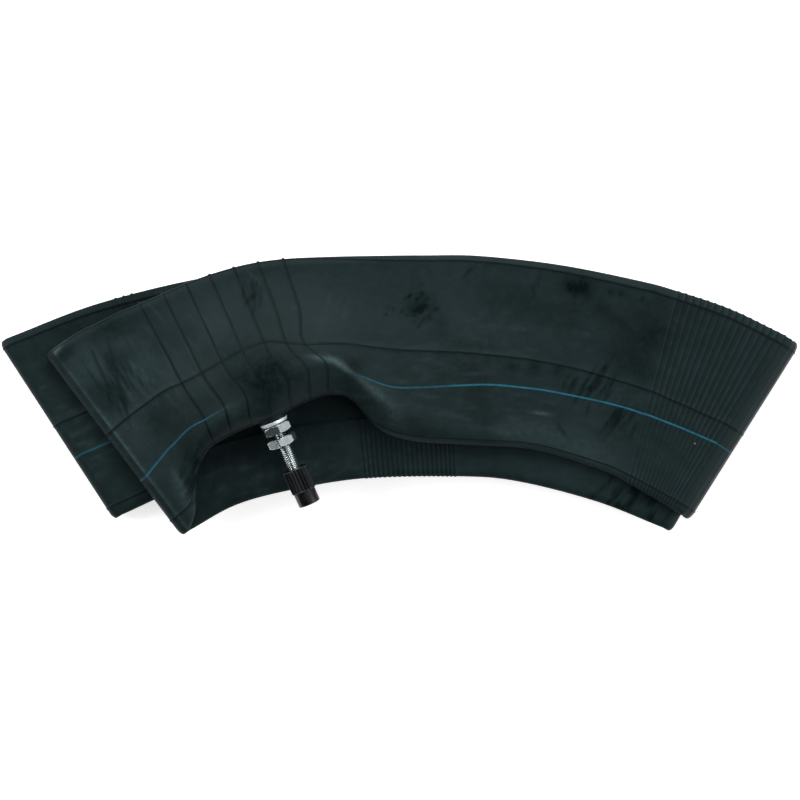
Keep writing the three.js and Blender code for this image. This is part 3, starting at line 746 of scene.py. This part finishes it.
def build_cap(plastic):
    """A screw cap: a fluted grip, a smooth narrower tip with a flat end, and a threaded bore."""

    def flutes(radius, angle, z):
        foot = smooth(z, CAP_START + 0.2, CAP_START + 1.0)
        grip = foot * (1 - smooth(z, CAP_SHOULDER - 0.9, CAP_SHOULDER - 0.1))
        wave = 0.5 - 0.5 * np.cos(CAP_FLUTES * angle)
        fluted = radius - FLUTE_DEPTH * grip * wave**FLUTE_POWER
        return np.where(radius > CAP_TIP_RADIUS + 0.2, fluted, radius)

    bore_rows = rows_between(CAP_START + 1, CAP_BORE_END - 0.2, THREAD_PITCH / 6)
    grip_rows = rows_between(CAP_START + 0.5, CAP_SHOULDER - 0.4, 0.5)
    profile = [
        (CAP_BORE + 0.4, CAP_START + 0.1), (6.9, CAP_START), (7.25, CAP_START + 0.12),
        *((CAP_RADIUS, z) for z in grip_rows),
        (7.3, CAP_SHOULDER - 0.1), (7.05, CAP_SHOULDER + 0.05),
        (CAP_TIP_RADIUS, CAP_SHOULDER + 0.2), (CAP_TIP_RADIUS, CAP_END - 0.6),
        (6.6, CAP_END - 0.25), (6.35, CAP_END - 0.05),
        (6.0, CAP_END), (5.2, CAP_END), (5.0, CAP_END - 0.15), (0.02, CAP_END - 0.15),
        (0.02, CAP_BORE_END), (CAP_BORE - 0.1, CAP_BORE_END),
        *((CAP_BORE, z) for z in bore_rows[::-1]),
    ]
    cut = thread(CAP_BORE, CAP_BORE - CAP_THREAD_DEPTH, THREAD_PITCH, CAP_START + 1, STEM_TIP)

    def shape(radius, angle, z):
        return np.where(radius < CAP_BORE + 0.2, cut(radius, angle, z), flutes(radius, angle, z))

    sides = CAP_FLUTES * 8
    turned_piece("fluted_cap", "cap", "black_plastic", "valve_cap", plastic, profile, shape, sides)


def build_patch(rubber):
    """The rubber pad round the stem, set in the wall of the hose."""
    profile = [
        (4.4, PATCH_BACK), (9.6, PATCH_BACK), (9.7, -4.4), (9.5, -3.6), (9.2, -2.6), (9.0, -1.6),
        (8.8, -0.7), (8.6, -0.4), (8.3, -GAP), (4.4, -GAP),
    ]
    turned_piece("rubber_pad", "tube", "butyl", "valve_patch", rubber, profile)


def build_core_head(brass):
    """The core's threaded head, with two flats for the tool that turns it."""
    root, thread_end = HEAD_RADIUS - HEAD_THREAD_DEPTH, HEAD_END - HEAD_THREAD_RUNOUT
    screw = thread(HEAD_RADIUS, root, HEAD_PITCH, HEAD_START, thread_end)

    def shape(radius, angle, z):
        cut = screw(radius, angle, z)
        flats = HEAD_HALF_FLATS / np.maximum(np.abs(np.sin(angle)), 1e-6)
        on_flats = (z > HEAD_END - HEAD_FLAT_LENGTH) & (radius > 1)
        return np.where(on_flats, np.minimum(cut, flats), cut)

    profile = [
        (HEAD_BORE, HEAD_START), (HEAD_RADIUS - 0.3, HEAD_START),
        *((HEAD_RADIUS, z) for z in rows_between(HEAD_START + 0.2, HEAD_END - 0.1, 0.1)),
        (HEAD_RADIUS - 0.2, HEAD_END), (HEAD_BORE, HEAD_END),
    ]
    names = ("core_head_fine", "core_head", "brass", "core_head")
    turned_piece(*names, brass, profile, shape, 72, True)


# The plain pieces of the core and the cap, by CAD node: body, slot, sides and profile.
PLAIN_PIECES = {
    "core_barrel": ("core_barrel", "brass", 48, [
        (0.8, 27.0), (1.6, 27.0), (1.9, 27.2), (2.0, 27.6), (2.0, 31.8), (1.9, 32.0), (1.9, 36.0),
        (2.0, 36.2), (2.0, 36.6), (1.9, 36.7), (1.6, 36.7), (1.5, 36.5), (1.5, 28.0), (0.8, 28.0),
    ]),
    "core_sleeve": ("core_barrel", "seal_rubber", 48, [
        (2.3, 32.6), (2.4, 32.5), (2.6, 33.0), (2.5, 34.0), (2.6, 35.2), (2.45, 35.5), (2.3, 35.4),
    ]),
    "core_pin": ("core_pin", "brass", 32, [
        (0.01, 24.4), (0.35, 24.4), (0.5, 24.55), (0.5, 35.7), (1.1, 35.7), (1.2, 35.8),
        (1.2, 36.2), (1.1, 36.3), (0.5, 36.3), (0.5, 41.2), (0.42, 41.45), (0.25, 41.58),
        (0.01, 41.6),
    ]),
    "core_cup": ("core_pin", "brass", 48, [
        (0.8, 24.7), (1.9, 24.7), (2.2, 24.85), (2.3, 25.1), (2.3, 26.2), (2.2, 26.3), (2.1, 26.3),
        (2.0, 26.2), (2.0, 25.4), (1.9, 25.3), (0.8, 25.3),
    ]),
    "core_seat": ("core_pin", "seal_rubber", 48, [
        (0.8, 25.6), (1.6, 25.6), (1.7, 25.8), (1.7, 26.5), (1.55, 26.7), (0.8, 26.7),
    ]),
    "cap_seal": ("cap_seal", "seal_rubber", 64, [
        (1.5, 42.6), (1.7, 42.4), (3.9, 42.4), (4.1, 42.6), (4.1, 44.0), (3.9, 44.2), (1.7, 44.2),
        (1.5, 44.0),
    ]),
}


def build_plain_pieces(finishes):
    for node, (body, slot, sides, profile) in PLAIN_PIECES.items():
        turned_piece(node + "_fine", body, slot, node, finishes[slot], profile, sides=sides)


def build_spring(steel):
    """The core's coil spring, which the pin's collar presses towards the foot of the barrel."""
    steps = TURN_STEPS * SPRING_TURNS
    t = np.linspace(0, 1, steps + 1)[:, None]
    angle = 2 * np.pi * SPRING_TURNS * t
    around = 2 * np.pi * np.arange(WIRE_SIDES) / WIRE_SIDES
    thickness = np.full((steps + 1, 1), SPRING_WIRE)
    thickness[[0, -1]] = 0.0
    outwards = SPRING_RADIUS + thickness * np.cos(around)
    rise = SPRING_START + (SPRING_END - SPRING_START) * t + thickness * np.sin(around)
    points = np.stack([outwards * np.cos(angle), outwards * np.sin(angle), rise], axis=2)
    i, k = np.meshgrid(np.arange(steps), np.arange(WIRE_SIDES), indexing="ij")
    row, next_row, beside = i * WIRE_SIDES, (i + 1) * WIRE_SIDES, (k + 1) % WIRE_SIDES
    quads = np.stack([row + k, next_row + k, next_row + beside, row + beside], axis=2)
    mesh = mesh_from("core_spring_fine", in_valve(points.reshape(-1, 3)), quads.reshape(-1, 4))
    names = ("core_barrel", "spring_steel", "core_spring")
    spring = new_piece("core_spring_fine", mesh, steel, *names)
    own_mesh(spring)


# ---------- materials ----------

CLOUD_DARK, CLOUD_LIGHT = (0.0026, 0.0066, 0.0072, 1), (0.0078, 0.0158, 0.0168, 1)
DUST_COLOR, FLECK_COLOR = (0.016, 0.029, 0.0305, 1), (0.35, 0.4, 0.4, 1)
# The dark colour serves dark marks and painted shade, the rubbed one rubbed marks and painted highlights.
DARK_MARK_AND_SHADE_COLOR, RUBBED_AND_HIGHLIGHT_COLOR = (0.0008, 0.0030, 0.0034, 1), (0.045, 0.072, 0.076, 1)
STRIPE_COLOR = (0.012, 0.115, 0.17, 1)
# Painted shade for recesses such as the roots of threads.
RECESS_SHADE_COLOR = (0.02, 0.025, 0.027, 1)
RUBBER_GLOSS, DARK_MARK_GLOSS = 0.13, 0.03


class Shader:
    """A node material with short calls for the nodes it uses."""

    def __init__(self, name, **sockets):
        self.material = bpy.data.materials.new(name)
        self.material.use_nodes = True
        self.tree = self.material.node_tree
        self.surface = self.tree.nodes["Principled BSDF"]
        for socket, value in sockets.items():
            self.surface.inputs[socket.replace("_", " ")].default_value = value

    def node(self, kind, **values):
        made = self.tree.nodes.new(kind)
        for key, value in values.items():
            setattr(made, key, value)
        return made

    def link(self, source, target):
        self.tree.links.new(source, target)

    def drive(self, name, source):
        self.link(source, self.surface.inputs[name])

    def place(self):
        return self.node("ShaderNodeTexCoord").outputs["Object"]

    def attribute(self, name):
        return self.node("ShaderNodeAttribute", attribute_name=name).outputs["Fac"]

    def noise(self, scale, detail=4.0, roughness=0.55, vector=None):
        made = self.node("ShaderNodeTexNoise")
        made.inputs["Scale"].default_value = scale
        made.inputs["Detail"].default_value = detail
        made.inputs["Roughness"].default_value = roughness
        self.link(vector or self.place(), made.inputs["Vector"])
        return made.outputs["Fac"]

    def ramp(self, factor, *stops):
        made = self.node("ShaderNodeValToRGB")
        made.color_ramp.elements[0].position, made.color_ramp.elements[0].color = stops[0]
        made.color_ramp.elements[1].position, made.color_ramp.elements[1].color = stops[-1]
        for position, color in stops[1:-1]:
            made.color_ramp.elements.new(position).color = color
        self.link(factor, made.inputs["Fac"])
        return made.outputs["Color"]

    def fade(self, factor, *stops):
        """A ramp of greys."""
        return self.ramp(factor, *((place, (value, value, value, 1.0)) for place, value in stops))

    def mix(self, factor, first, second):
        made = self.node("ShaderNodeMix", data_type="RGBA")
        for socket, value in ((0, factor), (6, first), (7, second)):
            if isinstance(value, bpy.types.NodeSocket):
                self.link(value, made.inputs[socket])
            else:
                made.inputs[socket].default_value = value
        return made.outputs[2]

    def bump(self, height, strength, distance, normal=None):
        made = self.node("ShaderNodeBump")
        made.inputs["Strength"].default_value = strength
        made.inputs["Distance"].default_value = distance
        self.link(height, made.inputs["Height"])
        if normal is not None:
            self.link(normal, made.inputs["Normal"])
        return made.outputs["Normal"]


def share_of(shader, first, second):
    """Product of two values or sockets."""
    made = shader.node("ShaderNodeMath", operation="MULTIPLY")
    for socket, value in zip(made.inputs, (first, second)):
        if isinstance(value, bpy.types.NodeSocket):
            shader.link(value, socket)
        else:
            socket.default_value = value
    return made.outputs[0]


def tenths(shader, distance, stops):
    """A fade over a distance in mm, with its stops in mm, up to 10."""
    scaled = share_of(shader, distance, 0.1)
    return shader.fade(scaled, *((place / 10, value) for place, value in stops))


def dusty_rubber(shader, specks):
    """Cloudy dark rubber with dust and a few pale flecks."""
    clouds = shader.noise(14.0, 6.0, 0.62)
    base = shader.ramp(clouds, (0.30, CLOUD_DARK), (0.70, CLOUD_LIGHT))
    dust = shader.fade(specks, (0.45, 0.0), (0.8, 0.4))
    color = shader.mix(dust, base, DUST_COLOR)
    dots = shader.node("ShaderNodeTexVoronoi")
    dots.inputs["Scale"].default_value = 45.0
    shader.link(shader.place(), dots.inputs["Vector"])
    dot = shader.fade(dots.outputs["Distance"], (0.013, 0.8), (0.026, 0.0))
    gate = shader.fade(shader.noise(17.0, 2.0), (0.62, 0.0), (0.64, 1.0))
    return shader.mix(share_of(shader, dot, gate), color, FLECK_COLOR)


def rub_marks_and_painted_light(shader, color):
    """Rub marks, painted highlights and painted shade from the tone stored on the hose. The dark ones are duller,
    too.
    """
    tone = shader.attribute("tone")
    grain = shader.fade(shader.noise(260.0, 5.0, 0.7), (0.3, 0.35), (0.65, 1.0))
    dark = share_of(shader, share_of(shader, tone, -1.0), grain)
    darkening = shader.fade(dark, (0.0, 0.0), (0.6, 0.85))
    color = shader.mix(darkening, color, DARK_MARK_AND_SHADE_COLOR)
    gloss = shader.fade(dark, (0.0, RUBBER_GLOSS), (0.7, DARK_MARK_GLOSS))
    shader.drive("Specular IOR Level", gloss)
    light = shader.fade(share_of(shader, tone, grain), (0.0, 0.0), (0.7, 0.9))
    return shader.mix(light, color, RUBBED_AND_HIGHLIGHT_COLOR)


def ribs_and_lines(shader, color):
    """Painted highlights on rib crests, painted shadows at their feet, dark edges of the moulded lines."""
    shade = shader.attribute("shade")
    color = shader.mix(share_of(shader, shade, -1.0), color, DARK_MARK_AND_SHADE_COLOR)
    crests = shader.fade(shade, (0.0, 0.0), (1.0, 1.0))
    color = shader.mix(crests, color, RUBBED_AND_HIGHLIGHT_COLOR)
    edges = ((0.0, 0.85), (0.4, 0.75), (0.75, 0.25), (1.3, 0.0))
    return shader.mix(tenths(shader, shader.attribute("line_mm"), edges), color, DARK_MARK_AND_SHADE_COLOR)


def painted_stripe(shader, color):
    size = shader.node("ShaderNodeMath", operation="ABSOLUTE")
    shader.link(shader.attribute("stripe_mm"), size.inputs[0])
    stripe = tenths(shader, size.outputs[0], ((0.25, 1.0), (0.85, 0.0)))
    rubbed = shader.fade(shader.noise(220.0, 4.0), (0.3, 0.55), (0.6, 1.0))
    stripe = share_of(shader, share_of(shader, stripe, shader.attribute("paint")), rubbed)
    return shader.mix(stripe, color, STRIPE_COLOR)


def butyl_material(name, moulded):
    """Dark dusty rubber. moulded adds the marks, ribs, lines and stripe stored on the hose."""
    shader = Shader(name, Specular_IOR_Level=RUBBER_GLOSS, Specular_Tint=(0.75, 0.96, 1.0, 1))
    specks = shader.noise(150.0, 6.0, 0.7)
    color = dusty_rubber(shader, specks)
    if moulded:
        for layer in (rub_marks_and_painted_light, ribs_and_lines, painted_stripe):
            color = layer(shader, color)
    shader.drive("Base Color", color)
    roughness = shader.fade(specks, (0.25, 0.45), (0.75, 0.66))
    shader.drive("Roughness", roughness)
    waves = shader.bump(shader.noise(55.0, 4.0, 0.6), 0.35, 0.0012)
    grain = shader.bump(shader.noise(900.0, 3.0), 0.25, 0.0003, waves)
    shader.drive("Normal", grain)
    return shader.material


def metal_material(name, color, roughness, metallic=0.95):
    """Slightly uneven metal, with painted shade where the recess stored on the piece is deep."""
    shader = Shader(name, Metallic=metallic)
    wear = shader.noise(400.0, 4.0)
    darker = tuple(c * 0.75 for c in color) + (1.0,)
    recess_shade = shader.fade(shader.attribute("recess"), (0.2, 0.0), (0.6, 0.4))
    clean = shader.ramp(wear, (0.3, darker), (0.7, (*color, 1.0)))
    shader.drive("Base Color", shader.mix(recess_shade, clean, RECESS_SHADE_COLOR))
    dulling = shader.fade(wear, (0.2, roughness * 1.4), (0.8, roughness * 0.8))
    shader.drive("Roughness", dulling)
    shader.drive("Normal", shader.bump(shader.noise(1500.0, 2.0), 0.1, 0.0001))
    return shader.material


def plastic_material(name, color, roughness):
    """Moulded plastic or smooth rubber with a fine grain."""
    shader = Shader(name, Specular_IOR_Level=0.3)
    tone = shader.noise(250.0, 3.0)
    lighter = tuple(c * 1.6 for c in color) + (1.0,)
    varied = shader.ramp(tone, (0.35, (*color, 1.0)), (0.75, lighter))
    shader.drive("Base Color", varied)
    dulling = shader.fade(tone, (0.2, roughness * 0.8), (0.8, roughness * 1.25))
    shader.drive("Roughness", dulling)
    shader.drive("Normal", shader.bump(shader.noise(1200.0, 2.0), 0.15, 0.0001))
    return shader.material


def make_finishes():
    """One material for each slot of the record."""
    return {
        "butyl": butyl_material("butyl_rubber", False),
        "plated_metal": metal_material("plated_metal_finish", (0.68, 0.75, 0.77), 0.13),
        "brass": metal_material("brass_finish", (0.72, 0.52, 0.24), 0.3),
        "black_plastic": plastic_material("black_plastic_finish", (0.003, 0.004, 0.0045), 0.28),
        "seal_rubber": plastic_material("seal_rubber_finish", (0.012, 0.012, 0.013), 0.6),
        "spring_steel": metal_material("spring_steel_finish", (0.62, 0.63, 0.64), 0.25),
    }


def dress_cad_nodes(finishes):
    """Every CAD node gets the finish of its slot."""
    for part in frame["record"]["subparts"]:
        node = frame["nodes"][part["node"]]
        node.data.materials.clear()
        node.data.materials.append(finishes[part["material_slot"]])


# ---------- the stage, in metres ----------

FLOOR_HALF = 4
FLOOR_LEVEL = -0.001  # just under the lowest ribs
FLOOR_GLOW = 0.62  # keeps the paper white round the object's shadow
SKY_SIDE = (0.8, 0.25, 0.2)  # the direction that the studio's soft light comes from
SKY_RANGE = {"From Min": 0.0, "From Max": 0.35, "To Min": 0.02, "To Max": 0.65}
LIGHTS = [
    ("key", (0.1, 1.3, 1.2), (1.4, 0.9), 24),
    ("left", (-1.3, 0.3, 0.7), (0.9, 0.7), 15),
    ("right", (1.2, -0.5, 0.7), (0.9, 0.7), 7),
]
CAMERA_HEIGHT, CAMERA_SHIFT = 2.4, 3.6  # m, and mm towards the front
PICTURE_WIDTH, PICTURE_LEVEL = 0.480, 0.02  # m across the picture at that height
SENSOR_WIDTH = 36.0


def build_floor():
    h = FLOOR_HALF
    corners = [(-h, -h, 0), (h, -h, 0), (h, h, 0), (-h, h, 0)]
    floor_mesh = mesh_from("floor", corners, [(0, 1, 2, 3)], False)
    floor = bpy.data.objects.new("floor", floor_mesh)
    bpy.context.scene.collection.objects.link(floor)
    floor.location.z = FLOOR_LEVEL
    white = (0.9, 0.9, 0.9, 1)
    paper = Shader("white_paper", Base_Color=white, Roughness=0.9, Specular_IOR_Level=0.0)
    paper.surface.inputs["Emission Color"].default_value = (1, 1, 1, 1)
    paper.surface.inputs["Emission Strength"].default_value = FLOOR_GLOW
    floor.data.materials.append(paper.material)


def build_world():
    """Soft light that grows towards one side."""
    bpy.context.scene.view_settings.view_transform = "Standard"
    world = bpy.data.worlds.new("studio")
    bpy.context.scene.world = world
    world.use_nodes = True
    tree = world.node_tree
    place = tree.nodes.new("ShaderNodeTexCoord")
    lean = tree.nodes.new("ShaderNodeVectorMath")
    lean.operation = "DOT_PRODUCT"
    lean.inputs[1].default_value = SKY_SIDE
    strength = tree.nodes.new("ShaderNodeMapRange")
    for socket, value in SKY_RANGE.items():
        strength.inputs[socket].default_value = value
    tree.links.new(place.outputs["Generated"], lean.inputs[0])
    tree.links.new(lean.outputs["Value"], strength.inputs["Value"])
    background = tree.nodes["Background"]
    background.inputs["Color"].default_value = (1, 1, 1, 1)
    tree.links.new(strength.outputs["Result"], background.inputs["Strength"])


def area_light(name, place, size, power):
    """A rectangular light that faces the object."""
    data = bpy.data.lights.new(name, "AREA")
    data.shape = "RECTANGLE"
    data.size, data.size_y = size
    data.energy = power
    light = bpy.data.objects.new(name, data)
    bpy.context.scene.collection.objects.link(light)
    light.location = place
    light.rotation_euler = (-Vector(place)).to_track_quat("-Z", "Y").to_euler()


def build_camera():
    """Straight down from above, with the photo's long lens."""
    data = bpy.data.cameras.new("camera")
    camera = bpy.data.objects.new("camera", data)
    bpy.context.scene.collection.objects.link(camera)
    bpy.context.scene.camera = camera
    data.sensor_width = SENSOR_WIDTH
    data.lens = data.sensor_width * (CAMERA_HEIGHT - PICTURE_LEVEL) / PICTURE_WIDTH
    camera.location = (TO_ROW[0] * MM, (TO_ROW[1] - CAMERA_SHIFT) * MM, CAMERA_HEIGHT)


build_floor()
build_world()
for light in LIGHTS:
    area_light(*light)
build_camera()
finishes = make_finishes()
dress_cad_nodes(finishes)
metal = finishes["plated_metal"]
build_hose(butyl_material("hose_rubber", True))
build_stem(metal)
build_washer(metal_material("washer_finish", (0.74, 0.81, 0.82), 0.4, 0.4))
build_nut("base_hexagon_nut", "base_nut", BASE_NUT_START, BASE_NUT_CORNER, metal, "base_nut")
build_nut("rim_hexagon_nut", "rim_nut", RIM_NUT_START, RIM_NUT_CORNER, metal, "rim_nut")
build_cap(finishes["black_plastic"])
build_patch(finishes["butyl"])
build_core_head(finishes["brass"])
build_plain_pieces(finishes)
build_spring(finishes["spring_steel"])
